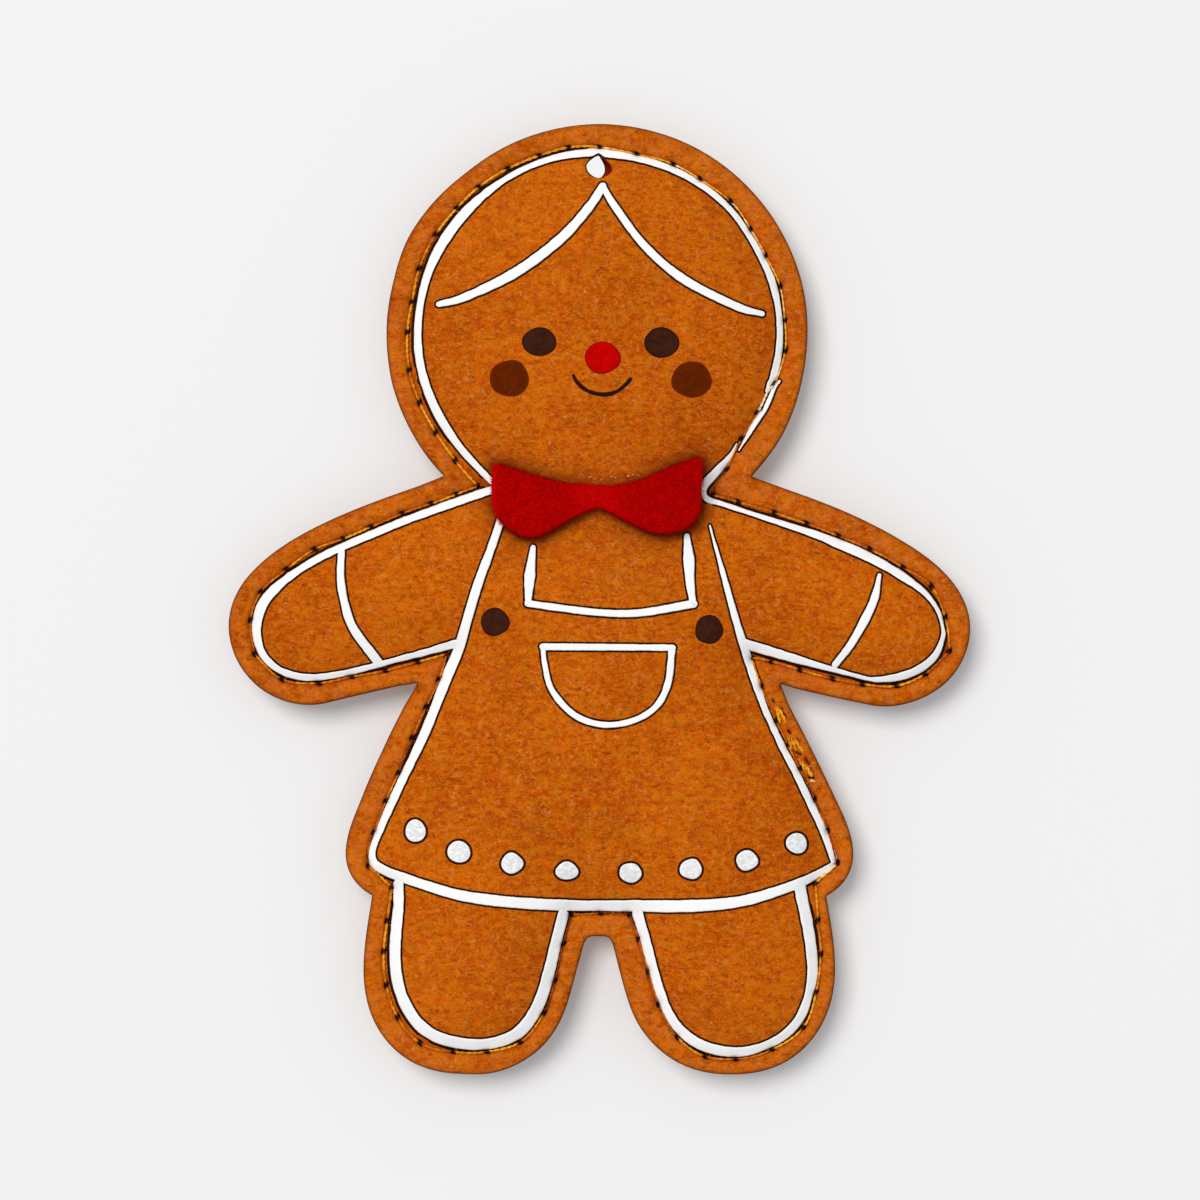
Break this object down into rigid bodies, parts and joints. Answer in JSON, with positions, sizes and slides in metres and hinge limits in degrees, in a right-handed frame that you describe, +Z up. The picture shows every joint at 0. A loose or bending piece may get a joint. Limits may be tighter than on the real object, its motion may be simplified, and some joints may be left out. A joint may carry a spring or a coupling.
{
  "type": "felt christmas ornament",
  "caption": "Flat stuffed gingerbread figure in a pinafore dress, sewn from felt panels with a printed front, a glued felt bow and a punched hole to hang it by.",
  "frame": {"origin": "the middle of the punched hanging hole, on the figure's axis, in the plane between the two panels", "axes": "+Z up from the feet to the head, the printed front faces -Y, +X to the right as seen from the front"},
  "size_m": [0.0778, 0.0086, 0.1],
  "materials": {
    "felt": "smooth pressed felt with fine paler fibres and a crisp cut edge",
    "filling": "loose off-white fibre wadding",
    "thread": "twisted golden-brown sewing thread with a low sheen",
    "white_ink": "raised white printing ink with a thin dark edge",
    "dark_ink": "thin dark brown printing ink, slightly mottled",
    "cheek_ink": "thin reddish brown printing ink, slightly mottled",
    "red_ink": "thin red printing ink",
    "red_felt": "soft matted red felt with a fuzzy cut edge",
    "glue": "dried clear to cream glue"
  },
  "bodies": {
    "root": {"front_panel": "felt", "back_panel": "felt", "filling": "filling", "needle_thread": "thread", "bobbin_thread": "thread", "icing_outline": "white_ink", "hair_parting": "white_ink", "bib_line": "white_ink", "pocket_line": "white_ink", "hem_dot_1": "white_ink", "hem_dot_2": "white_ink", "hem_dot_3": "white_ink", "hem_dot_4": "white_ink", "hem_dot_5": "white_ink", "hem_dot_6": "white_ink", "hem_dot_7": "white_ink", "hem_dot_8": "white_ink", "left_eye": "dark_ink", "left_cheek": "cheek_ink", "left_strap_button": "dark_ink", "right_eye": "dark_ink", "right_cheek": "cheek_ink", "right_strap_button": "dark_ink", "nose": "red_ink", "smile": "dark_ink", "bow_tie": "red_felt", "bow_glue": "glue"}
  },
  "joints": []
}
